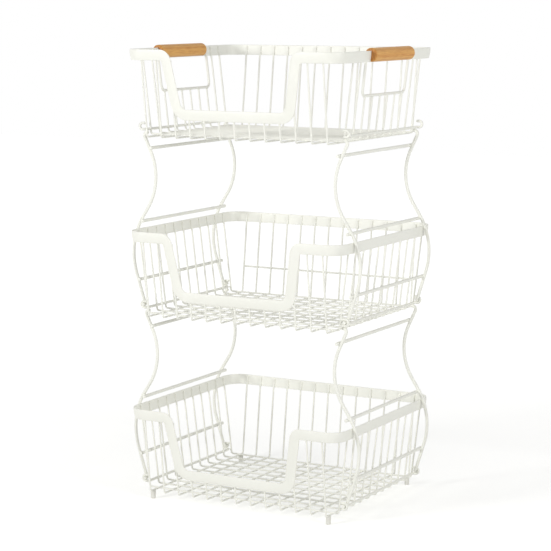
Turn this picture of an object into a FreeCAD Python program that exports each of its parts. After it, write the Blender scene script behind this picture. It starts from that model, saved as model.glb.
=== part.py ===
import FreeCAD, Part
import math
import os
from FreeCAD import Placement, Rotation, Vector

# Three-tier wire basket: three open-fronted steel baskets, one above the other on S-shaped side frames.
# Millimetres, +Z up, front towards -Y. The origin is the middle of the footprint, on the floor.

doc = FreeCAD.newDocument("tiered_wire_basket")
sheet = doc.addObject("Spreadsheet::Sheet", "sizes")

# Driving dimensions: name, millimetres or degrees, meaning.
SIZES = (
    ("rim_width", 360, "outside width of a basket at its rim"),
    ("rim_depth", 315, "outside depth of a basket at its rim"),
    ("rim_corner", 28, "outside corner radius of the rim"),
    ("basket_height", 130, "underside of the floor wires to the top edge of the rim"),
    ("tier_pitch", 268, "one basket's floor to the next one's"),
    ("wall_lean", 7, "degrees that the walls lean outwards"),
    ("band_height", 16, "width of the flat rim strip"),
    ("band_thick", 2, "thickness of the rim strip"),
    ("dip_half", 101, "half the width of the front dip at the rim"),
    ("lip_half", 85.5, "half the width of the front dip at the lip"),
    ("lip_height", 43.5, "underside of the floor wires to the top edge of the lip"),
    ("dip_round", 18, "radius where the rim turns down into the dip"),
    ("dip_round_under", 4, "radius under that turn"),
    ("lip_round", 10, "radius where the dip turns into the lip"),
    ("wire_dia", 2.8, "diameter of the wall and floor wires"),
    ("lengthwise_pitch", 25, "spacing of the lengthwise wires"),
    ("crosswise_pitch", 24.4, "spacing of the crosswise wires"),
    ("floor_bend", 3.5, "centre-line radius where a wall wire turns into the floor"),
    ("wire_end_gap", 2, "edge of the strip to the end of a wire behind it"),
    ("weld_bite", 0.3, "depth that two welded pieces sink into each other"),
    ("rail_dia", 4, "diameter of the side rails"),
    ("rail_rise", 11, "rail axis above the underside of the floor wires"),
    ("leg_dia", 5, "diameter of the frame legs"),
    ("leg_inset", 42, "rim's front or back face to the plane of each leg"),
    ("pin_clear", 0.08, "radial clearance of a leg's pin in its rail eye"),
    ("pin_overhang", 2, "length of pin that shows past its eye"),
    ("pin_bend", 3.75, "centre-line radius where a leg's pin turns into the leg"),
    ("part_gap", 0.5, "gap beside a moving leg"),
    ("seat_gap", 0.3, "gap between a leg's seat and the rail above it"),
    ("seat_reach", 2.2, "length of a leg's seat past the rail's axis"),
    ("leg_bend", 5, "centre-line radius of the bends at a leg's two ends"),
    ("knee_rise", 7, "pin axis to the knee of a leg"),
    ("knee_bend", 15, "centre-line radius of the knee"),
    ("shoulder_drop", 38, "rim to the widest point of a leg"),
    ("shoulder_bend", 100, "centre-line radius of a leg's outward curve"),
    ("waist_inset", 29.5, "rim's outer face to a leg's innermost centre line"),
    ("waist_bend", 85, "centre-line radius of a leg's inward curve"),
    ("lower_lean", 17.5, "degrees that a leg leans out beside its basket"),
    ("middle_lean", 33, "degrees that a leg leans in above the rim"),
    ("upper_lean", 25, "degrees that a leg leans out under the next basket"),
    ("bar_dia", 5, "diameter of the crossbars between two legs"),
    ("bar_overhang", 6, "leg plane to the end of a crossbar"),
    ("seat_bar_drop", 18.5, "floor of the next basket to the leg point that carries the top crossbar"),
    ("rim_bar_rise", 11.5, "rim to the axis of the middle crossbar"),
    ("wall_bar_rise", 51.5, "floor to the leg point that carries the low crossbar"),
    ("foot_dia", 8, "diameter of a foot"),
    ("foot_height", 11.5, "floor to the underside of the lowest wires"),
    ("foot_hold", 1.8, "height that a foot clips up round its wire"),
    ("back_wire_rise", 42.5, "floor to the extra wire along the middle basket's back"),
    ("guard_dia", 4, "diameter of the wire round each finger gap"),
    ("guard_drop", 64, "rim to the bar under a finger gap"),
    ("guard_bend", 8, "centre-line radius of the guard's corners"),
    ("grip_dia", 20, "diameter of a wooden grip"),
    ("grip_length", 128, "length of a wooden grip"),
    ("grip_cover", 4.2, "height of a grip above the rim"),
    ("grip_gap", 3, "end of a grip to the guard wire beside it"),
    ("grip_edge", 3, "rounding at the ends of a grip"),
    ("groove_clear", 0.9, "gap between the strip and each side of a grip's groove"),
)
for row, (alias, value, meaning) in enumerate(SIZES, 1):
    sheet.set(f"A{row}", meaning)
    sheet.set(f"B{row}", str(value))
    sheet.setAlias(f"B{row}", alias)
doc.recompute()


class Size:
    """Reads a driving dimension from the sheet by its name."""

    def __getattr__(self, alias):
        return float(sheet.get(alias))


size = Size()

# Half sizes and heights that several pieces share. Heights are above a basket's own floor wires.
HALF_WIDTH = size.rim_width / 2
HALF_DEPTH = size.rim_depth / 2
RIM = size.basket_height
LEAN = math.radians(size.wall_lean)
WIRE_RADIUS = size.wire_dia / 2
RAIL_RADIUS = size.rail_dia / 2
LEG_RADIUS = size.leg_dia / 2
LOW_LAYER = WIRE_RADIUS
HIGH_LAYER = LOW_LAYER + size.wire_dia - size.weld_bite
LEG_PLANE = HALF_DEPTH - size.leg_inset
TIERS = ("bottom", "middle", "top")
SIDES = {"left": -1, "right": 1}
ENDS = {"front": -1, "rear": 1}
SAME_POINT = 1e-6


def floor_of(tier):
    return size.foot_height + TIERS.index(tier) * size.tier_pitch


def rounded_edges(points, radii, closed=False):
    """Straight runs through the points, with a tangent arc at each point that has a radius."""
    count = len(points)
    ends = {i: (point, point) for i, point in enumerate(points)}
    arcs = {}
    for i, corner in enumerate(points):
        if not radii[i]:
            continue
        arrive = (corner - points[i - 1]).normalize()
        leave = (points[(i + 1) % count] - corner).normalize()
        half_turn = arrive.getAngle(leave) / 2
        reach = radii[i] * math.tan(half_turn)
        start = corner - arrive * reach
        finish = corner + leave * reach
        inwards = (leave - arrive).normalize()
        middle = corner + inwards * (radii[i] / math.cos(half_turn) - radii[i])
        ends[i] = (start, finish)
        arcs[i] = Part.Arc(start, middle, finish).toShape()
    edges = []
    for i in range(count):
        if i in arcs:
            edges.append(arcs[i])
        start, finish = ends[i][1], ends[(i + 1) % count][0]
        if (closed or i < count - 1) and not start.isEqual(finish, SAME_POINT):
            edges.append(Part.LineSegment(start, finish).toShape())
    return edges


def bent_wire(points, radii, diameter):
    """A round wire bent along the points; radii has one entry for each point."""
    path = Part.Wire(rounded_edges(points, radii))
    along = points[1] - points[0]
    section = Part.Wire(Part.Circle(points[0], along, diameter / 2).toShape())
    return path.makePipeShell([section], True, False)


def wall_inset(height, depth_behind_face=0):
    """How far inside the rim's outer edge a point of the leaning wall stands at this height."""
    return math.tan(LEAN) * (RIM - height) + depth_behind_face / math.cos(LEAN)


WIRE_DEPTH = size.band_thick + WIRE_RADIUS - size.weld_bite
GUARD_DEPTH = size.band_thick + size.guard_dia / 2 - size.weld_bite

nodes = {}


def add_node(label, shape, tier):
    """A piece given as a shape in its basket's frame, stood on that basket's floor height."""
    piece = doc.addObject("Part::Feature", label)
    piece.Label = label
    piece.Shape = shape
    piece.Placement = Placement(Vector(0, 0, floor_of(tier)), Rotation())
    nodes[label] = piece
    return piece


# Rim band: one steel strip round the back and sides, dipping across the front to a low lip.
# It is the leaning wall's own sheet, trimmed to the strip's outline as seen from the front.
def wall_outline(height, depth_behind_face):
    inset = wall_inset(height, depth_behind_face)
    x = HALF_WIDTH - inset
    y = HALF_DEPTH - inset
    corners = [Vector(-x, -y, height), Vector(x, -y, height), Vector(x, y, height), Vector(-x, y, height)]
    return Part.Wire(rounded_edges(corners, [size.rim_corner - inset] * 4, closed=True))


LIP_UNDERSIDE = size.lip_height - size.band_height
DIP_SLOPE = math.atan2(size.dip_half - size.lip_half, RIM - size.lip_height)
STRIP_ACROSS = size.band_height / math.cos(DIP_SLOPE) - size.band_height * math.tan(DIP_SLOPE)


def strip_face():
    """The strip as seen from the front, in the XZ plane: its top edge, then its lower edge back again."""
    beyond = HALF_WIDTH + size.band_height
    low = RIM - size.band_height
    right = [
        (beyond, RIM, 0),
        (beyond, low, 0),
        (size.dip_half + STRIP_ACROSS, low, size.dip_round_under),
        (size.lip_half + STRIP_ACROSS, LIP_UNDERSIDE, size.lip_round + size.band_height),
    ]
    top = [(size.lip_half, size.lip_height, size.lip_round), (size.dip_half, RIM, size.dip_round)]
    left_under = [(-x, z, r) for x, z, r in reversed(right)]
    left_top = [(-x, z, r) for x, z, r in reversed(top)]
    outline = right + left_under + left_top + top
    points = [Vector(x, 0, z) for x, z, r in outline]
    return Part.Face(Part.Wire(rounded_edges(points, [r for x, z, r in outline], closed=True)))


STRIP = strip_face()


def rim_band():
    sheet_bottom = LIP_UNDERSIDE - size.band_height
    heights = (sheet_bottom, RIM)
    outside = Part.makeLoft([wall_outline(h, 0) for h in heights], True, True)
    inside = Part.makeLoft([wall_outline(h, size.band_thick) for h in heights], True, True)
    wall = outside.cut(inside)
    front = STRIP.extrude(Vector(0, -size.rim_depth, 0))
    corner = Vector(-size.rim_width, 0, RIM - size.band_height)
    back = Part.makeBox(2 * size.rim_width, size.rim_depth, size.band_height, corner)
    return wall.common(front).fuse(wall.common(back)).removeSplitter().Solids[0]


# Wall and floor wires: each is one U, down a wall, across the floor and up the wall opposite.
# The lengthwise wires lie lowest; the crosswise wires are welded on top of them.
# The top basket's crosswise rows stand half a spacing off the middle, even about its finger gaps.
def rows_between(half_span, pitch, offset=0):
    """Places of the rows along a wall that keep clear of the rim's corners; the offset is in spacings."""
    most = half_span / pitch
    return [(i + offset) * pitch for i in range(math.ceil(-most - offset), math.floor(most - offset) + 1)]


ROW_OFFSETS = {"bottom": 0, "middle": 0, "top": 1 / 2}
LENGTHWISE_ROWS = rows_between(HALF_WIDTH - size.rim_corner, size.lengthwise_pitch)
CROSSWISE_ROWS = {
    tier: rows_between(HALF_DEPTH - size.rim_corner, size.crosswise_pitch, offset)
    for tier, offset in ROW_OFFSETS.items()
}
WIRE_TOP = RIM - size.wire_end_gap


def strip_top(row):
    """Height of the strip's top edge in front of a lengthwise wire, where it is lowest."""
    lines = [
        Part.makeLine(Vector(x, 0, 0), Vector(x, 0, 2 * RIM)) for x in (row - WIRE_RADIUS, row + WIRE_RADIUS)
    ]
    return min(line.common(STRIP).BoundBox.ZMax for line in lines)


def wall_point(along, axis, height, depth, side):
    """A point of the wall's wire plane: axis 0 for the side walls, 1 for the front and back."""
    half = (HALF_WIDTH, HALF_DEPTH)[axis]
    across = side * (half - wall_inset(height, depth))
    return Vector(across, along, height) if axis == 0 else Vector(along, across, height)


def u_wire(row, axis, floor, first_top, second_top):
    corners = [(first_top, -1), (floor, -1), (floor, 1), (second_top, 1)]
    points = [wall_point(row, axis, height, WIRE_DEPTH, side) for height, side in corners]
    return bent_wire(points, [0, size.floor_bend, size.floor_bend, 0], size.wire_dia)


def lengthwise_wires():
    return Part.makeCompound([
        u_wire(row, 1, LOW_LAYER, strip_top(row) - size.wire_end_gap, WIRE_TOP)
        for row in LENGTHWISE_ROWS
    ])


GUARD_HALF = size.grip_length / 2 + size.grip_gap + size.guard_dia / 2
GUARD_BAR = RIM - size.guard_drop
UNDER_GUARD = GUARD_BAR - size.guard_dia / 2 + size.weld_bite


def crosswise_wires(tier):
    wires = []
    for row in CROSSWISE_ROWS[tier]:
        under_gap = tier == "top" and abs(row) < GUARD_HALF
        top = UNDER_GUARD if under_gap else WIRE_TOP
        wires.append(u_wire(row, 0, HIGH_LAYER, top, top))
    return Part.makeCompound(wires)


# Side rails: a thicker wire along the foot of each side wall. Both ends turn out, up and back over
# into a hooked eye, which the basket's wall closes.
RAIL_X = HALF_WIDTH - wall_inset(size.rail_rise, WIRE_DEPTH)
RAIL_X += (WIRE_RADIUS + RAIL_RADIUS - size.weld_bite) / math.cos(LEAN)
EYE_RADIUS = LEG_RADIUS + size.pin_clear + RAIL_RADIUS
EYE_X = RAIL_X + EYE_RADIUS
EYE_Z = size.rail_rise + EYE_RADIUS
EYE_Y = LEG_PLANE + LEG_RADIUS + RAIL_RADIUS + size.part_gap


def side_rail(side):
    def eye(end):
        return [
            Vector(side * (EYE_X - EYE_RADIUS), end * EYE_Y, EYE_Z + EYE_RADIUS),
            Vector(side * (EYE_X + EYE_RADIUS), end * EYE_Y, EYE_Z + EYE_RADIUS),
            Vector(side * (EYE_X + EYE_RADIUS), end * EYE_Y, size.rail_rise),
            Vector(side * RAIL_X, end * EYE_Y, size.rail_rise),
        ]

    points = eye(-1) + list(reversed(eye(1)))
    return bent_wire(points, [0] + [EYE_RADIUS] * (len(points) - 2) + [0], size.rail_dia)


for tier in TIERS:
    add_node(f"{tier}_rim_band", rim_band(), tier)
    add_node(f"{tier}_lengthwise_wires", lengthwise_wires(), tier)
    add_node(f"{tier}_crosswise_wires", crosswise_wires(tier), tier)
    for hand, side in SIDES.items():
        add_node(f"{tier}_{hand}_rail", side_rail(side), tier)


# Back wire: one straight wire welded along the outside of the middle basket's back wall.
BACK_WIRE_Y = HALF_DEPTH - wall_inset(size.back_wire_rise, WIRE_DEPTH)
BACK_WIRE_Y += (size.wire_dia - size.weld_bite) / math.cos(LEAN)

back_wire = doc.addObject("Part::Cylinder", "middle_back_wire")
back_wire.setExpression("Radius", "sizes.wire_dia / 2")
back_wire.setExpression("Height", "sizes.rim_width - 2 * sizes.rim_corner")
back_wire.Placement = Placement(
    Vector(-(HALF_WIDTH - size.rim_corner), BACK_WIRE_Y, floor_of("middle") + size.back_wire_rise),
    Rotation(Vector(0, 1, 0), 90),
)
nodes["middle_back_wire"] = back_wire


# Feet: four short plastic studs clipped up over the outermost lengthwise wires, at the ends of their
# straight run along the floor.
FOOT_X = LENGTHWISE_ROWS[-1]
BEND_REACH = size.floor_bend * math.tan((math.pi / 2 - LEAN) / 2)
FOOT_Y = HALF_DEPTH - wall_inset(LOW_LAYER, WIRE_DEPTH) - BEND_REACH - size.foot_dia / 2

for end_name, end in ENDS.items():
    for hand, side in SIDES.items():
        label = f"{end_name}_{hand}_foot"
        stud = doc.addObject("Part::Cylinder", f"{label}_stud")
        stud.setExpression("Radius", "sizes.foot_dia / 2")
        stud.setExpression("Height", "sizes.foot_height + sizes.foot_hold")
        stud.Placement = Placement(Vector(side * FOOT_X, end * FOOT_Y, 0), Rotation())
        foot = doc.addObject("Part::Cut", label)
        foot.Base = stud
        foot.Tool = nodes["bottom_lengthwise_wires"]
        nodes[label] = foot


# Finger gaps: on each side of the top basket a thicker wire frames the opening under the grip.
def guard_wire(side):
    corners = [(WIRE_TOP, -1), (GUARD_BAR, -1), (GUARD_BAR, 1), (WIRE_TOP, 1)]
    points = [
        wall_point(end * GUARD_HALF, 0, height, GUARD_DEPTH, side) for height, end in corners
    ]
    return bent_wire(points, [0, size.guard_bend, size.guard_bend, 0], size.guard_dia)


# Wooden grips: a round bar, grooved from below to drop over the rim strip between the guard's ends.
GRIP_AXIS_X = HALF_WIDTH - size.band_thick / 2
GRIP_AXIS_Z = RIM + size.grip_cover - size.grip_dia / 2


def grip_groove(side):
    """The groove's room: leaning sides beside the strip, open below."""
    open_end = RIM - size.grip_dia
    depth = size.band_thick + size.groove_clear
    section = []
    for height, behind in (
        (RIM, -size.groove_clear),
        (open_end, -size.groove_clear),
        (open_end, depth),
        (RIM, depth),
    ):
        x = side * (HALF_WIDTH - wall_inset(height, behind))
        section.append(Vector(x, -size.grip_length, height))
    face = Part.Face(Part.makePolygon(section + section[:1]))
    return face.extrude(Vector(0, 2 * size.grip_length, 0))


for hand, side in SIDES.items():
    add_node(f"top_{hand}_guard", guard_wire(side), "top")
    label = f"top_{hand}_grip"
    bar = doc.addObject("Part::Cylinder", f"{label}_bar")
    bar.setExpression("Radius", "sizes.grip_dia / 2")
    bar.setExpression("Height", "sizes.grip_length")
    bar.Placement = Placement(
        Vector(side * GRIP_AXIS_X, size.grip_length / 2, floor_of("top") + GRIP_AXIS_Z),
        Rotation(Vector(1, 0, 0), 90),
    )
    doc.recompute()
    rounded = doc.addObject("Part::Fillet", f"{label}_rounded")
    rounded.Base = bar
    rims = [i for i, edge in enumerate(bar.Shape.Edges, 1) if edge.Closed]
    rounded.Edges = [(i, size.grip_edge, size.grip_edge) for i in rims]
    groove = doc.addObject("Part::Feature", f"{label}_groove")
    groove.Shape = grip_groove(side)
    groove.Placement = Placement(Vector(0, 0, floor_of("top")), Rotation())
    grip = doc.addObject("Part::Cut", label)
    grip.Base = rounded
    grip.Tool = groove
    nodes[label] = grip


# Side frames: two S-shaped legs joined by three crossbars. Each leg hangs by a pin in a rail eye,
# bows out past the rim, narrows to a waist and ends in a flat seat under the next basket's rail.
LOWER = math.radians(size.lower_lean)
MIDDLE = math.radians(size.middle_lean)
UPPER = math.radians(size.upper_lean)
SHOULDER_Z = RIM - size.shoulder_drop
SHOULDER_X = HALF_WIDTH - math.sqrt(
    (size.shoulder_bend - LEG_RADIUS - size.part_gap) ** 2 - size.shoulder_drop ** 2
)
WAIST_X = HALF_WIDTH - size.waist_inset + size.waist_bend
WAIST_Z = SHOULDER_Z + (
    SHOULDER_X - WAIST_X + (size.shoulder_bend + size.waist_bend) / math.cos(MIDDLE)
) / math.tan(MIDDLE)
SEAT_Z = size.tier_pitch + size.rail_rise - RAIL_RADIUS - size.seat_gap - LEG_RADIUS


def lower_run(z):
    """X of the straight run beside the basket, which touches the shoulder curve's outside."""
    return SHOULDER_X + size.shoulder_bend / math.cos(LOWER) + math.tan(LOWER) * (z - SHOULDER_Z)


def middle_run(z):
    return SHOULDER_X + size.shoulder_bend / math.cos(MIDDLE) - math.tan(MIDDLE) * (z - SHOULDER_Z)


def upper_run(z):
    """X of the straight run under the next basket, which touches the waist curve's inside."""
    return WAIST_X - size.waist_bend / math.cos(UPPER) + math.tan(UPPER) * (z - WAIST_Z)


def frame_leg(side, end):
    shoulder_corner = SHOULDER_Z + size.shoulder_bend * (
        1 / math.cos(MIDDLE) - 1 / math.cos(LOWER)
    ) / (math.tan(LOWER) + math.tan(MIDDLE))
    waist_corner = WAIST_Z + size.waist_bend * (
        1 / math.cos(UPPER) - 1 / math.cos(MIDDLE)
    ) / (math.tan(MIDDLE) + math.tan(UPPER))
    knee = EYE_Z + size.knee_rise
    pin_end = EYE_Y + RAIL_RADIUS + size.pin_overhang
    stations = [
        (EYE_X, pin_end, EYE_Z, 0),
        (EYE_X, LEG_PLANE, EYE_Z, size.pin_bend),
        (lower_run(knee), LEG_PLANE, knee, size.knee_bend),
        (lower_run(shoulder_corner), LEG_PLANE, shoulder_corner, size.shoulder_bend),
        (middle_run(waist_corner), LEG_PLANE, waist_corner, size.waist_bend),
        (upper_run(SEAT_Z), LEG_PLANE, SEAT_Z, size.leg_bend),
        (RAIL_X - size.seat_reach, LEG_PLANE, SEAT_Z, 0),
    ]
    points = [Vector(side * x, end * y, z) for x, y, z, r in stations]
    return bent_wire(points, [r for x, y, z, r in stations], size.leg_dia)


# Crossbars are welded to the inner side of both legs.
BAR_OFFSET = LEG_RADIUS + size.bar_dia / 2 - size.weld_bite
RIM_BAR_Z = RIM + size.rim_bar_rise
SEAT_BAR_Z = size.tier_pitch - size.seat_bar_drop
BARS = {
    "seat_bar": (
        upper_run(SEAT_BAR_Z) - BAR_OFFSET * math.cos(UPPER),
        SEAT_BAR_Z + BAR_OFFSET * math.sin(UPPER),
    ),
    "rim_bar": (
        SHOULDER_X + math.sqrt(
            (size.shoulder_bend - BAR_OFFSET) ** 2 - (RIM_BAR_Z - SHOULDER_Z) ** 2
        ),
        RIM_BAR_Z,
    ),
    "wall_bar": (
        lower_run(size.wall_bar_rise) - BAR_OFFSET * math.cos(LOWER),
        size.wall_bar_rise + BAR_OFFSET * math.sin(LOWER),
    ),
}

for storey, tier in (("lower", "bottom"), ("upper", "middle")):
    for hand, side in SIDES.items():
        for end_name, end in ENDS.items():
            add_node(f"{storey}_{hand}_{end_name}_leg", frame_leg(side, end), tier)
        for bar_name, (x, z) in BARS.items():
            label = f"{storey}_{hand}_{bar_name}"
            crossbar = doc.addObject("Part::Cylinder", label)
            crossbar.setExpression("Radius", "sizes.bar_dia / 2")
            crossbar.setExpression("Height", "sizes.rim_depth - 2 * (sizes.leg_inset - sizes.bar_overhang)")
            crossbar.Placement = Placement(
                Vector(side * x, LEG_PLANE + size.bar_overhang, floor_of(tier) + z),
                Rotation(Vector(1, 0, 0), 90),
            )
            nodes[label] = crossbar

doc.recompute()

# Nothing is written unless every object came out whole.
for item in doc.Objects:
    if {"Invalid", "Error"} & set(item.State):
        raise RuntimeError(f"{item.Label} failed: {item.State}")
for label, piece in nodes.items():
    if piece.Shape.isNull() or not piece.Shape.isValid() or not piece.Shape.Solids:
        raise RuntimeError(f"{label} has no valid solid")

os.makedirs("parts", exist_ok=True)
for label, piece in nodes.items():
    piece.Shape.exportStep(f"parts/{label}.step")
    print(f"{label}: {len(piece.Shape.Solids)} solids, {piece.Shape.Volume:.0f} mm3")
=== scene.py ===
import math

import bmesh
import bpy
from mathutils import Matrix, Vector


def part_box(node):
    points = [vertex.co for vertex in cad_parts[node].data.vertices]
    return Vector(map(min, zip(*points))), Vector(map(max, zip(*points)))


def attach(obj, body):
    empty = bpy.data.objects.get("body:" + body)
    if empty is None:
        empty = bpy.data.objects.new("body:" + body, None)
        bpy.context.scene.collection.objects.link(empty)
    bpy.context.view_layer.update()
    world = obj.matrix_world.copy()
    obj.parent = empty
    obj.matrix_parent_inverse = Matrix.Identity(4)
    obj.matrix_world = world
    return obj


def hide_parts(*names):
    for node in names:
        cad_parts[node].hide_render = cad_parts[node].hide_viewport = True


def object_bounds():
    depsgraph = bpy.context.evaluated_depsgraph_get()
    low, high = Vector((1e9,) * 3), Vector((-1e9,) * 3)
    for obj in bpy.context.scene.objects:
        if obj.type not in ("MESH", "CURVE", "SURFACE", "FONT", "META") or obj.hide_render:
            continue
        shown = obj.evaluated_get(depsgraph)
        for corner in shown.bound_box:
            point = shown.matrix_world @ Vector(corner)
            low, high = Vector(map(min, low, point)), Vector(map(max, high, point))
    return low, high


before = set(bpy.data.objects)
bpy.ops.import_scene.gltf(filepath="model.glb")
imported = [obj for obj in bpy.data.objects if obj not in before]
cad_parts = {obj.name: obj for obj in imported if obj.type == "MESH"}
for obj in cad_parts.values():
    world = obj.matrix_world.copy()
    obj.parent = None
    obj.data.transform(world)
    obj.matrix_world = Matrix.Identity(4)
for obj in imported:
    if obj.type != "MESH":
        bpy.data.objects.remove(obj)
cad_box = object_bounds()

# Rim bands. Each basket is held in shape by one flat steel strip, bent round the back and sides and
# dipped across the front to a low lip. It is rolled with a slightly crowned outer face and rounded
# edges, butt-welded at the back, and powder coated with the rest of the basket.
MM = 0.001
SAME_PLACE = 0.01 * MM
TIERS = ("bottom", "middle", "top")
STRIP_HEIGHT = 16 * MM
STRIP_THICKNESS = 2 * MM
STRIP_EDGE = 0.7 * MM
STRIP_EDGE_STEPS = 3
STRIP_CROWN = 0.8 * MM
CROWN_STEPS = 8
WALL_LEAN = math.radians(7)
RIM_CORNER = 28 * MM
CORNER_STEPS = 16
DIP_HALF = 101 * MM
DIP_ROUND = 18 * MM
LIP_HALF = 85.5 * MM
LIP_ROUND = 10 * MM
DIP_STEPS = 14


def srgb(hex_colour):
    """An sRGB hex colour as the linear values that a shader socket takes."""
    channels = [int(hex_colour[i:i + 2], 16) / 255 for i in (1, 3, 5)]
    return [c / 12.92 if c <= 0.04045 else ((c + 0.055) / 1.055) ** 2.4 for c in channels] + [1]


def add_node(tree, kind, links=(), **settings):
    """Adds a node. Settings name its sockets or properties; links are (from, to socket name)."""
    node = tree.nodes.new(kind)
    for name, value in settings.items():
        if name in node.inputs:
            node.inputs[name].default_value = value
        else:
            setattr(node, name.lower(), value)
    for source, target in links:
        tree.links.new(source, node.inputs[target])
    return node


def new_material(name):
    material = bpy.data.materials.new(name)
    material.use_nodes = True
    material.node_tree.nodes.clear()
    return material, material.node_tree


def satin_powder_coat():
    """Off-white polyester powder, baked on steel: satin, with a faint orange peel and uneven tone.

    The peel's ripples are about 1 mm wide on the real coat, too fine for the picture, so they are
    drawn at 3 mm. The tone drifts over some 60 mm, where the powder settled thicker or thinner.
    """
    peel_size = 3 * MM
    drift_size = 60 * MM
    material, tree = new_material("satin_powder_coat")
    where = add_node(tree, "ShaderNodeTexCoord").outputs["Object"]
    drift = add_node(
        tree, "ShaderNodeTexNoise", [(where, "Vector")], Scale=1 / drift_size, Detail=3
    )
    tone = add_node(tree, "ShaderNodeValToRGB", [(drift.outputs["Fac"], "Fac")])
    tone.color_ramp.elements[0].color = srgb("#f1f1e8")
    tone.color_ramp.elements[1].color = srgb("#f8f8f1")
    peel = add_node(tree, "ShaderNodeTexNoise", [(where, "Vector")], Scale=1 / peel_size, Detail=2)
    gloss = add_node(
        tree, "ShaderNodeMapRange", [(peel.outputs["Fac"], "Value")],
        **{"To Min": 0.36, "To Max": 0.48},
    )
    ripple = add_node(
        tree, "ShaderNodeBump", [(peel.outputs["Fac"], "Height")],
        Strength=0.25, Distance=0.05 * MM,
    )
    coat = add_node(
        tree, "ShaderNodeBsdfPrincipled",
        [(tone.outputs["Color"], "Base Color"), (gloss.outputs["Result"], "Roughness"),
         (ripple.outputs["Normal"], "Normal")],
        IOR=1.5,
    )
    add_node(tree, "ShaderNodeOutputMaterial", [(coat.outputs["BSDF"], "Surface")])
    return material


POWDER_COAT = satin_powder_coat()


def add_piece(name, bm, material, body):
    """Puts a finished bmesh into the scene, riding on its body."""
    mesh = bpy.data.meshes.new(name)
    bm.to_mesh(mesh)
    bm.free()
    mesh.shade_smooth()
    mesh.materials.append(material)
    piece = bpy.data.objects.new(name, mesh)
    bpy.context.scene.collection.objects.link(piece)
    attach(piece, body)
    return piece


def add_coated(name, bm, body):
    """Adds a piece of coated steel."""
    return add_piece(name, bm, POWDER_COAT, body)


def run(bm, loop, step):
    """Draws the open end of a strip straight on by a step."""
    drawn = bmesh.ops.extrude_edge_only(bm, edges=loop)["geom"]
    ends = {g for g in drawn if isinstance(g, bmesh.types.BMVert)}
    bmesh.ops.translate(bm, vec=step, verts=list(ends))
    return [g for g in drawn if isinstance(g, bmesh.types.BMEdge) and set(g.verts) <= ends]


def bend(bm, loop, centre, axis, angle, steps):
    """Carries the open end on round a bend."""
    ends = list({v for edge in loop for v in edge.verts})
    turned = bmesh.ops.spin(
        bm, geom=ends + loop, cent=centre, axis=axis, angle=angle, steps=steps, use_merge=False
    )
    return [g for g in turned["geom_last"] if isinstance(g, bmesh.types.BMEdge)]


def rim_strip(box):
    """One strip: its right half is drawn from the middle of the back to the middle of the lip."""
    low, high = box
    half_width, half_depth, rim = high

    # The section is listed as drops below the rim, each with its depth behind the leaning wall.
    # The crowned face is set in, so that its foremost line stays inside the solid's box.
    lean = math.tan(WALL_LEAN)
    skin = STRIP_THICKNESS / math.cos(WALL_LEAN)
    down_face = [i / CROWN_STEPS for i in range(CROWN_STEPS + 1)]
    crown = [(STRIP_HEIGHT * t, 4 * STRIP_CROWN * t * (1 - t)) for t in down_face]
    set_in = max(bulge - lean * drop for drop, bulge in crown)
    outer_face = [(drop, set_in - bulge) for drop, bulge in crown]
    outline = outer_face + [(STRIP_HEIGHT, skin), (0, skin)]
    bm = bmesh.new()
    section = [
        bm.verts.new((0, half_depth - back - lean * drop, rim - drop)) for drop, back in outline
    ]
    bm.faces.new(section)
    corners = [section[0], section[CROWN_STEPS], section[-2], section[-1]]
    bmesh.ops.bevel(
        bm, geom=corners, offset=STRIP_EDGE, segments=STRIP_EDGE_STEPS, profile=0.5,
        affect="VERTICES", material=-1,
    )
    face = bm.faces[:][0]
    loop = list(face.edges)
    bmesh.ops.delete(bm, geom=[face], context="FACES_ONLY")

    straight_x = half_width - RIM_CORNER
    straight_y = half_depth - RIM_CORNER
    up = Vector((0, 0, 1))
    loop = run(bm, loop, Vector((straight_x, 0, 0)))
    loop = bend(bm, loop, (straight_x, straight_y, 0), up, -math.pi / 2, CORNER_STEPS)
    loop = run(bm, loop, Vector((0, -2 * straight_y, 0)))
    loop = bend(bm, loop, (straight_x, -straight_y, 0), up, -math.pi / 2, CORNER_STEPS)

    # The dip is bent edgewise, in the plane of the leaning front wall.
    outward = Vector((0, -math.cos(WALL_LEAN), -math.sin(WALL_LEAN)))
    down = Vector((0, math.sin(WALL_LEAN), -math.cos(WALL_LEAN)))
    lip_drop = (rim - low.z - STRIP_HEIGHT) / math.cos(WALL_LEAN)
    slope = math.atan2(DIP_HALF - LIP_HALF, lip_drop)
    turn = math.pi / 2 - slope
    dip_reach = DIP_ROUND * math.tan(turn / 2)
    lip_reach = LIP_ROUND * math.tan(turn / 2)
    slope_run = math.hypot(DIP_HALF - LIP_HALF, lip_drop) - dip_reach - lip_reach
    dip_start = Vector((DIP_HALF + dip_reach, -half_depth, rim))
    loop = run(bm, loop, Vector((dip_start.x - straight_x, 0, 0)))
    dip_centre = dip_start + down * DIP_ROUND
    loop = bend(bm, loop, dip_centre, outward, turn, DIP_STEPS)
    along = Vector((-math.sin(slope), 0, 0)) + down * math.cos(slope)
    loop = run(bm, loop, along * slope_run)
    lip_end = Vector((LIP_HALF - lip_reach, -half_depth, rim)) + down * lip_drop
    lip_centre = lip_end - down * LIP_ROUND
    loop = bend(bm, loop, lip_centre, outward, -turn, DIP_STEPS)
    loop = run(bm, loop, Vector((-lip_end.x, 0, 0)))

    right_half = bm.verts[:] + bm.edges[:] + bm.faces[:]
    bmesh.ops.mirror(bm, geom=right_half, axis="X", merge_dist=SAME_PLACE)
    bmesh.ops.recalc_face_normals(bm, faces=bm.faces)
    return bm


for tier in TIERS:
    node = f"{tier}_rim_band"
    strip = add_coated(f"{tier}_rim_strip", rim_strip(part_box(node)), f"{tier}_basket")
    strip.modifiers.new("flat faces", "WEIGHTED_NORMAL")
    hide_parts(node)

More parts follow.
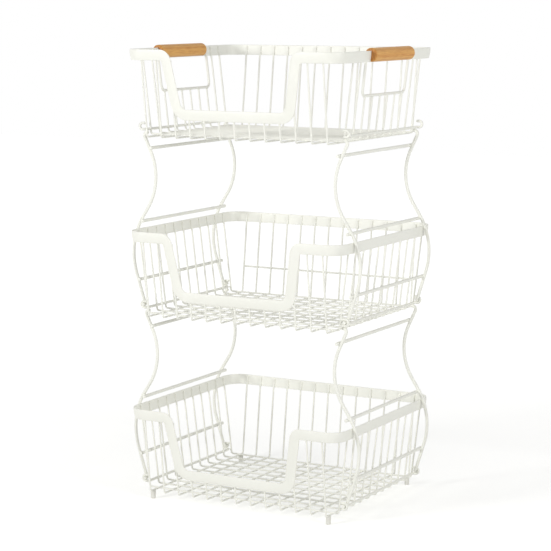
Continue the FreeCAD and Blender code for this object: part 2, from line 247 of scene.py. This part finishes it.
# Wall and floor wires. Thin mild-steel wires, each bent to a U: the lengthwise ones run up the
# back, along the floor and up the front, and the crosswise ones lie on top of them. Every crossing
# is resistance welded in a jig, which leaves a small squashed nugget that the coat rounds over.
WIRE_DIAMETER = 2.8 * MM
WELD_BITE = 0.3 * MM
STRIP_WELD_DROP = 0.6 * STRIP_HEIGHT
LENGTHWISE_PITCH = 25 * MM
CROSSWISE_PITCH = 24.4 * MM
LENGTHWISE_ROWS = [i * LENGTHWISE_PITCH for i in range(-6, 7)]
ODD_ROWS = [i * CROSSWISE_PITCH for i in range(-5, 6)]
EVEN_ROWS = [(i + 0.5) * CROSSWISE_PITCH for i in range(-5, 5)]
CROSSWISE_ROWS = {"bottom": ODD_ROWS, "middle": ODD_ROWS, "top": EVEN_ROWS}
NUGGET_SIDES = 8
NUGGET_RINGS = 5
FLOOR_NUGGET = Vector((2.3, 2.3, 1.3)) * MM
WALL_NUGGET = Vector((2.2, 2.2, 3)) * MM


def dress(node, material):
    """Gives a solid that is shown as it is its material."""
    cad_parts[node].material_slots[0].material = material


def add_nugget(bm, place, size):
    """One weld nugget: a squashed ball of a few dozen faces, half sunk in the pieces it joins."""
    bmesh.ops.create_uvsphere(
        bm, u_segments=NUGGET_SIDES, v_segments=NUGGET_RINGS, radius=1,
        matrix=Matrix.LocRotScale(Vector(place), None, size),
    )


def wire_welds(tier):
    """The nuggets of one basket: where its wires cross on the floor and meet the strip."""
    bm = bmesh.new()
    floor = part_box(f"{tier}_lengthwise_wires")[0].z
    crossing = floor + WIRE_DIAMETER - WELD_BITE / 2
    for row in LENGTHWISE_ROWS:
        for cross_row in CROSSWISE_ROWS[tier]:
            add_nugget(bm, (row, cross_row, crossing), FLOOR_NUGGET)

    # The wires end behind the strip: at the rim, and across the dip at the lower lip.
    low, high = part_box(f"{tier}_rim_band")
    half_width, half_depth, rim = high
    drop = STRIP_WELD_DROP
    inset = math.tan(WALL_LEAN) * drop + STRIP_THICKNESS
    lip_drop = rim - low.z - STRIP_HEIGHT + drop
    lip_inset = math.tan(WALL_LEAN) * lip_drop + STRIP_THICKNESS
    for row in LENGTHWISE_ROWS:
        add_nugget(bm, (row, half_depth - inset, rim - drop), WALL_NUGGET)
        if abs(row) < LIP_HALF - LIP_ROUND:
            add_nugget(bm, (row, lip_inset - half_depth, rim - lip_drop), WALL_NUGGET)
        elif abs(row) > DIP_HALF + DIP_ROUND:
            add_nugget(bm, (row, inset - half_depth, rim - drop), WALL_NUGGET)

    # The top basket's wires under its finger gaps stop short of the strip.
    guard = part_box("top_left_guard")
    for row in CROSSWISE_ROWS[tier]:
        if tier == "top" and guard[0].y < row < guard[1].y:
            continue
        for side in (-1, 1):
            add_nugget(bm, (side * (half_width - inset), row, rim - drop), WALL_NUGGET)
    return bm


for tier in TIERS:
    dress(f"{tier}_lengthwise_wires", POWDER_COAT)
    dress(f"{tier}_crosswise_wires", POWDER_COAT)
    add_coated(f"{tier}_wire_welds", wire_welds(tier), f"{tier}_basket")

# Side rails. A thicker wire along the foot of each side wall, welded to every crosswise wire. Both
# ends are bent into hooked eyes for the frames' pins, and sawn off; the sawn ends are eased.
HANDS = {"left": -1, "right": 1}
RAIL_DIAMETER = 4 * MM
SAWN_ANGLE = math.radians(60)
END_EASE = 0.6 * MM
END_EASE_STEPS = 3
DOUBLES_GAP = 0.001 * MM
RAIL_NUGGET = Vector((1.3, 2.3, 1.8)) * MM


def eased(node):
    """A copy of a bent or straight wire, with the edges of its sawn ends taken off."""
    bm = bmesh.new()
    bm.from_mesh(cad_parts[node].data)
    bmesh.ops.remove_doubles(bm, verts=bm.verts, dist=DOUBLES_GAP)
    sawn = [e for e in bm.edges if e.is_manifold and e.calc_face_angle() > SAWN_ANGLE]
    bmesh.ops.bevel(
        bm, geom=sawn, offset=END_EASE, segments=END_EASE_STEPS, profile=0.5, affect="EDGES",
        material=-1,
    )
    return bm


def add_eased(node, body):
    """Puts the eased copy in the place of its node."""
    piece = add_coated(f"{node}_eased", eased(node), body)
    piece.modifiers.new("straight sides", "WEIGHTED_NORMAL")
    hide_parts(node)


def rail_welds(tier, hand):
    """A nugget where each crosswise wire passes inside the rail."""
    bm = bmesh.new()
    low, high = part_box(f"{tier}_{hand}_rail")
    inner_side = high.x if hand == "left" else low.x
    axis_z = low.z + RAIL_DIAMETER / 2
    for row in CROSSWISE_ROWS[tier]:
        add_nugget(bm, (inner_side, row, axis_z), RAIL_NUGGET)
    return bm


for tier in TIERS:
    for hand in HANDS:
        rail = f"{tier}_{hand}_rail"
        add_eased(rail, f"{tier}_basket")
        add_coated(f"{rail}_welds", rail_welds(tier, hand), f"{tier}_basket")

# Back wire. One straight wire along the outside of the middle basket's back wall, welded to each
# lengthwise wire, which stiffens that wall.
BACK_NUGGET = Vector((2.3, 1.3, 1.8)) * MM


def back_wire_welds():
    bm = bmesh.new()
    low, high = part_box("middle_back_wire")
    axis_z = (low.z + high.z) / 2
    for row in LENGTHWISE_ROWS:
        add_nugget(bm, (row, low.y, axis_z), BACK_NUGGET)
    return bm


add_eased("middle_back_wire", "middle_basket")
add_coated("middle_back_wire_welds", back_wire_welds(), "middle_basket")

# Feet. Four short studs, injection moulded in off-white polypropylene and pushed up over the
# outermost lengthwise wires, so that the coated wires don't scratch what the basket stands on.
FOOT_SIDES = 32
FOOT_TAPER = 0.4 * MM
FOOT_TOE = 1.2 * MM
FOOT_LIP = 0.6 * MM
FOOT_EDGE_STEPS = 4


def moulded_polypropylene():
    """Off-white polypropylene from a fine spark-eroded mould: waxy and matt, with a faint mottle.

    The mould's grain is about 0.1 mm, too fine for the picture, so it is drawn at 0.5 mm.
    """
    grain_size = 0.5 * MM
    mottle_size = 6 * MM
    material, tree = new_material("moulded_polypropylene")
    where = add_node(tree, "ShaderNodeTexCoord").outputs["Object"]
    mottle = add_node(
        tree, "ShaderNodeTexNoise", [(where, "Vector")], Scale=1 / mottle_size, Detail=2
    )
    tone = add_node(tree, "ShaderNodeValToRGB", [(mottle.outputs["Fac"], "Fac")])
    tone.color_ramp.elements[0].color = srgb("#e3e2da")
    tone.color_ramp.elements[1].color = srgb("#eeede6")
    grain = add_node(
        tree, "ShaderNodeTexNoise", [(where, "Vector")], Scale=1 / grain_size, Detail=1
    )
    matt = add_node(
        tree, "ShaderNodeMapRange", [(grain.outputs["Fac"], "Value")],
        **{"To Min": 0.5, "To Max": 0.65},
    )
    pitted = add_node(
        tree, "ShaderNodeBump", [(grain.outputs["Fac"], "Height")],
        Strength=0.3, Distance=0.05 * MM,
    )
    plastic = add_node(
        tree, "ShaderNodeBsdfPrincipled",
        [(tone.outputs["Color"], "Base Color"), (matt.outputs["Result"], "Roughness"),
         (pitted.outputs["Normal"], "Normal")],
        IOR=1.49,
    )
    add_node(tree, "ShaderNodeOutputMaterial", [(plastic.outputs["BSDF"], "Surface")])
    return material


def stud(box):
    """A stud that tapers a little to its rounded toe."""
    low, high = box
    radius = (high.x - low.x) / 2
    bm = bmesh.new()
    bmesh.ops.create_cone(
        bm, cap_ends=True, segments=FOOT_SIDES, radius1=radius - FOOT_TAPER, radius2=radius,
        depth=high.z - low.z, matrix=Matrix.Translation((low + high) / 2),
    )
    for height, easing in ((low.z, FOOT_TOE), (high.z, FOOT_LIP)):
        edge = [e for e in bm.edges if all(abs(v.co.z - height) < SAME_PLACE for v in e.verts)]
        bmesh.ops.bevel(
            bm, geom=edge, offset=easing, segments=FOOT_EDGE_STEPS, profile=0.5, affect="EDGES",
            material=-1,
        )
    return bm


POLYPROPYLENE = moulded_polypropylene()
for end in ("front", "rear"):
    for hand in HANDS:
        node = f"{end}_{hand}_foot"
        foot = add_piece(
            f"{node}_stud", stud(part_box(node)), POLYPROPYLENE, "bottom_basket"
        )
        foot.modifiers.new("flat ends", "WEIGHTED_NORMAL")
        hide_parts(node)

# Guards. On each side of the top basket a thicker wire frames the finger gap under the grip. The
# short crosswise wires below the gap are welded up against its bar.
GUARD_DIAMETER = 4 * MM
GUARD_NUGGET = Vector((2.2, 2.2, 1.3)) * MM


def guard_welds(hand):
    bm = bmesh.new()
    low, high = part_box(f"top_{hand}_guard")
    bar_x = high.x - GUARD_DIAMETER / 2 if hand == "left" else low.x + GUARD_DIAMETER / 2
    for row in CROSSWISE_ROWS["top"]:
        if low.y < row < high.y:
            add_nugget(bm, (bar_x, row, low.z), GUARD_NUGGET)
    return bm


for hand in HANDS:
    dress(f"top_{hand}_guard", POWDER_COAT)
    add_coated(f"top_{hand}_guard_welds", guard_welds(hand), "top_basket")

# Grips. Two round bars of beech, turned, rounded at the ends and grooved from below to push down
# over the rim strip. They are stained light brown and oiled.
GRIP_ABOVE_PITH = 45 * MM


def oiled_beech():
    """Steamed beech, stained and oiled: warm tan, with fine long pores and faint growth rings.

    The bars are cut some way from the tree's pith, so the rings cross them as gentle curves. The
    end faces are darker: partly end grain, which drinks more oil, and partly painted shade. Real
    pores are about 0.1 mm wide; they are drawn at 0.9 mm.
    """
    ring_width = 4 * MM
    ring_stretch = 10
    ring_share = 0.22
    pore_width = 0.9 * MM
    pore_stretch = 18
    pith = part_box("top_left_grip")[0].z - GRIP_ABOVE_PITH
    material, tree = new_material("oiled_beech")
    place = add_node(tree, "ShaderNodeTexCoord")
    drawn_out = add_node(
        tree, "ShaderNodeMapping", [(place.outputs["Object"], "Vector")],
        Scale=(1, 1 / pore_stretch, 1),
    )
    from_pith = add_node(
        tree, "ShaderNodeMapping", [(place.outputs["Object"], "Vector")],
        Location=(0, 0, -pith), Scale=(1, 1 / ring_stretch, 1),
    )
    # At a scale of 1 this texture's rings are pi / 10 wide.
    rings = add_node(
        tree, "ShaderNodeTexWave", [(from_pith.outputs["Vector"], "Vector")], wave_type="RINGS",
        rings_direction="Y", Scale=math.pi / 10 / ring_width, Distortion=2.5, Detail=2,
    )
    pores = add_node(
        tree, "ShaderNodeTexNoise", [(drawn_out.outputs["Vector"], "Vector")],
        Scale=1 / pore_width, Detail=3, Roughness=0.6,
    )
    grain = add_node(
        tree, "ShaderNodeMath", [(rings.outputs["Fac"], 0), (pores.outputs["Fac"], 2)],
        operation="MULTIPLY_ADD",
    )
    grain.inputs[1].default_value = ring_share
    tone = add_node(tree, "ShaderNodeValToRGB", [(grain.outputs["Value"], "Fac")])
    dark, light = tone.color_ramp.elements
    dark.position, light.position = 0.38, 0.78
    dark.color, light.color = srgb("#c9873a"), srgb("#e6b060")
    # The end faces, which face along Y, are darkened: partly end grain, which drinks more oil, and
    # partly painted shade.
    facing = add_node(tree, "ShaderNodeSeparateXYZ", [(place.outputs["Normal"], "Vector")])
    end_face = add_node(
        tree, "ShaderNodeMath", [(facing.outputs["Y"], 0), (facing.outputs["Y"], 1)],
        operation="MULTIPLY",
    )
    # The Mix node has its sockets once per data type; these are its colour sockets.
    first_colour, second_colour, mixed_colour = 6, 7, 2
    oiled_and_shaded_ends = add_node(
        tree, "ShaderNodeMix",
        [(end_face.outputs["Value"], "Factor"), (tone.outputs["Color"], first_colour)],
        data_type="RGBA", blend_type="MULTIPLY",
    )
    oiled_and_shaded_ends.inputs[second_colour].default_value = srgb("#d8c3ac")
    sheen = add_node(
        tree, "ShaderNodeMapRange", [(pores.outputs["Fac"], "Value")],
        **{"To Min": 0.42, "To Max": 0.6},
    )
    open_pores = add_node(
        tree, "ShaderNodeBump", [(pores.outputs["Fac"], "Height")],
        Strength=0.25, Distance=0.15 * MM,
    )
    wood = add_node(
        tree, "ShaderNodeBsdfPrincipled",
        [(oiled_and_shaded_ends.outputs[mixed_colour], "Base Color"), (sheen.outputs["Result"], "Roughness"),
         (open_pores.outputs["Normal"], "Normal")],
        IOR=1.5,
    )
    add_node(tree, "ShaderNodeOutputMaterial", [(wood.outputs["BSDF"], "Surface")])
    return material


BEECH = oiled_beech()
for hand in HANDS:
    dress(f"top_{hand}_grip", BEECH)

# Side frames. Two legs of thicker steel wire, each bent to an S with a pin at the bottom and a flat
# seat at the top, welded to three straight crossbars on their inner side. The pins spring into the
# rails' eyes, and the next basket's rails rest on the seats.
BAR_DIAMETER = 5 * MM
BAR_OVERHANG = 6 * MM
BAR_NUGGET = Vector((2.2, 3, 3)) * MM
# Each bar touches its legs on its outer side, this many degrees above level.
TOUCH_ABOVE_LEVEL = {"seat_bar": -25, "rim_bar": 31, "wall_bar": -17.5}


def frame_welds(storey, hand):
    """A nugget between each crossbar and the leg that lies outside it at each end."""
    bm = bmesh.new()
    for bar, degrees in TOUCH_ABOVE_LEVEL.items():
        low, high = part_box(f"{storey}_{hand}_{bar}")
        angle = math.radians(degrees)
        towards_leg = Vector((HANDS[hand] * math.cos(angle), 0, math.sin(angle)))
        touch = (low + high) / 2 + towards_leg * (BAR_DIAMETER - WELD_BITE) / 2
        for end in (-1, 1):
            add_nugget(bm, (touch.x, end * (high.y - BAR_OVERHANG), touch.z), BAR_NUGGET)
    return bm


for storey in ("lower", "upper"):
    for hand in HANDS:
        body = f"{storey}_{hand}_frame"
        for name in ("front_leg", "rear_leg", "seat_bar", "rim_bar", "wall_bar"):
            add_eased(f"{storey}_{hand}_{name}", body)
        add_coated(f"{body}_welds", frame_welds(storey, hand), body)

# Studio. A white paper floor under a white surround, with one softbox before the left front corner
# and one on the right. The floor and surround are plain white to the camera and to reflections.
FLOOR_SIZE = 12
SHADOW_REACH = 2
FAR_GLOW = 0.64
NEAR_GLOW = 0.37
FILL_STRENGTH = 0.44


def seen_directly(tree):
    """One for rays that show a surface, straight, mirrored or through glass; zero for lighting."""
    rays = add_node(tree, "ShaderNodeLightPath")
    seen = add_node(
        tree, "ShaderNodeMath",
        [(rays.outputs["Is Camera Ray"], 0), (rays.outputs["Is Glossy Ray"], 1)],
        operation="MAXIMUM",
    )
    seen = add_node(
        tree, "ShaderNodeMath",
        [(seen.outputs["Value"], 0), (rays.outputs["Is Transmission Ray"], 1)],
        operation="MAXIMUM",
    )
    return seen.outputs["Value"]


def white_paper():
    """Matt paper with a glow that makes it plain white: weaker near the object, for its shadow."""
    material, tree = new_material("white_paper")
    where = add_node(tree, "ShaderNodeTexCoord").outputs["Object"]
    nearby = add_node(
        tree, "ShaderNodeMapping", [(where, "Vector")], Scale=[1 / SHADOW_REACH] * 3
    )
    nearness = add_node(
        tree, "ShaderNodeTexGradient", [(nearby.outputs["Vector"], "Vector")],
        gradient_type="SPHERICAL",
    )
    lift = add_node(
        tree, "ShaderNodeMapRange", [(nearness.outputs["Fac"], "Value")],
        **{"To Min": FAR_GLOW, "To Max": NEAR_GLOW},
    )
    paper = add_node(tree, "ShaderNodeBsdfDiffuse", Color=srgb("#f7f7f5"))
    glow = add_node(tree, "ShaderNodeEmission", [(lift.outputs["Result"], "Strength")])
    lifted = add_node(
        tree, "ShaderNodeAddShader", [(paper.outputs["BSDF"], 0), (glow.outputs["Emission"], 1)]
    )
    surface = add_node(
        tree, "ShaderNodeMixShader",
        [(seen_directly(tree), 0), (paper.outputs["BSDF"], 1), (lifted.outputs["Shader"], 2)],
    )
    add_node(tree, "ShaderNodeOutputMaterial", [(surface.outputs["Shader"], "Surface")])
    return material


def studio_floor():
    bm = bmesh.new()
    bmesh.ops.create_grid(bm, x_segments=1, y_segments=1, size=FLOOR_SIZE / 2)
    mesh = bpy.data.meshes.new("studio_floor")
    bm.to_mesh(mesh)
    bm.free()
    mesh.materials.append(white_paper())
    floor = bpy.data.objects.new("studio_floor", mesh)
    bpy.context.scene.collection.objects.link(floor)


def white_surround():
    world = bpy.data.worlds.new("white_surround")
    world.use_nodes = True
    tree = world.node_tree
    tree.nodes.clear()
    fill = add_node(
        tree, "ShaderNodeBackground", Color=srgb("#ffffff"), Strength=FILL_STRENGTH
    )
    white = add_node(tree, "ShaderNodeBackground", Color=srgb("#ffffff"), Strength=1)
    sky = add_node(
        tree, "ShaderNodeMixShader",
        [(seen_directly(tree), 0), (fill.outputs["Background"], 1),
         (white.outputs["Background"], 2)],
    )
    add_node(tree, "ShaderNodeOutputWorld", [(sky.outputs["Shader"], "Surface")])
    bpy.context.scene.world = world


def add_softbox(name, place, size, watts):
    """A round softbox turned to the middle of the object."""
    lamp = bpy.data.lights.new(name, "AREA")
    lamp.shape = "DISK"
    lamp.size = size
    lamp.energy = watts
    softbox = bpy.data.objects.new(name, lamp)
    softbox.location = place
    middle = (cad_box[0] + cad_box[1]) / 2
    softbox.rotation_euler = (middle - Vector(place)).to_track_quat("-Z", "Y").to_euler()
    bpy.context.scene.collection.objects.link(softbox)


studio_floor()
white_surround()
add_softbox("left_softbox", place=(-1.5, -3.05, 1.3), size=0.9, watts=49)
add_softbox("right_softbox", place=(3.4, -1.2, 1.0), size=1.0, watts=38)

# Camera. A long lens a little above the top basket, off to the right of the front, so that it sees
# the open front and the right side.
camera_data = bpy.data.cameras.new("photo_camera")
camera_data.lens = 125.3
camera_data.sensor_width = 36
camera = bpy.data.objects.new("photo_camera", camera_data)
camera.location = (1.397, -2.5105, 0.7528)
look_at = Vector((-0.0069, -0.0075, 0.3360))
camera.rotation_euler = (look_at - camera.location).to_track_quat("-Z", "Y").to_euler()
bpy.context.scene.collection.objects.link(camera)
bpy.context.scene.camera = camera
bpy.context.scene.view_settings.view_transform = "Standard"
